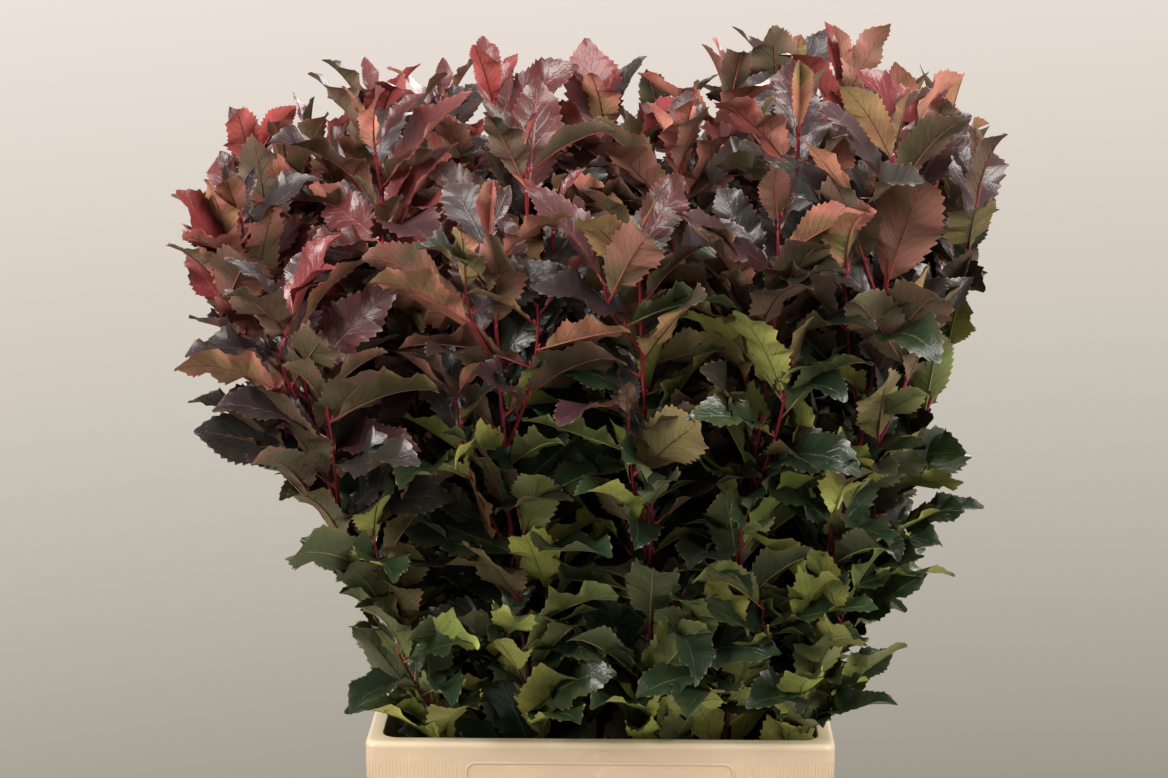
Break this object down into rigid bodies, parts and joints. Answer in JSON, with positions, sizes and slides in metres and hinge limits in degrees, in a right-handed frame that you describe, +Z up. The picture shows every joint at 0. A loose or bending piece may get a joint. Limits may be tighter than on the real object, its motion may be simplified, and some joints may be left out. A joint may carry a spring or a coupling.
{
  "type": "bucket of cut photinia stems",
  "caption": "Leafy cut photinia stems with red-bronze tops and green lower leaves, fanned out of a cream rectangular flower bucket.",
  "frame": {"origin": "centre of the bucket's flat underside", "axes": "+Z up out of the bucket, +X to the right along its wide front, +Y from its front to its back"},
  "size_m": [0.7298, 0.5845, 0.8841],
  "materials": {
    "bucket": "satin moulded cream plastic",
    "stems": "smooth dark red-brown bark, crimson where young",
    "foliage": "leathery leaves, red-bronze at the tips and green below"
  },
  "bodies": {
    "root": {"bucket": "bucket", "stem_01": "stems", "foliage_01": "foliage", "stem_02": "stems", "foliage_02": "foliage", "stem_03": "stems", "foliage_03": "foliage", "stem_04": "stems", "foliage_04": "foliage", "stem_05": "stems", "foliage_05": "foliage", "stem_06": "stems", "foliage_06": "foliage", "stem_07": "stems", "foliage_07": "foliage", "stem_08": "stems", "foliage_08": "foliage", "stem_09": "stems", "foliage_09": "foliage", "stem_10": "stems", "foliage_10": "foliage", "stem_11": "stems", "foliage_11": "foliage", "stem_12": "stems", "foliage_12": "foliage", "stem_13": "stems", "foliage_13": "foliage", "stem_14": "stems", "foliage_14": "foliage", "stem_15": "stems", "foliage_15": "foliage", "stem_16": "stems", "foliage_16": "foliage", "stem_17": "stems", "foliage_17": "foliage", "stem_18": "stems", "foliage_18": "foliage", "stem_19": "stems", "foliage_19": "foliage", "stem_20": "stems", "foliage_20": "foliage", "stem_21": "stems", "foliage_21": "foliage", "stem_22": "stems", "foliage_22": "foliage", "stem_23": "stems", "foliage_23": "foliage", "stem_24": "stems", "foliage_24": "foliage"}
  },
  "joints": []
}
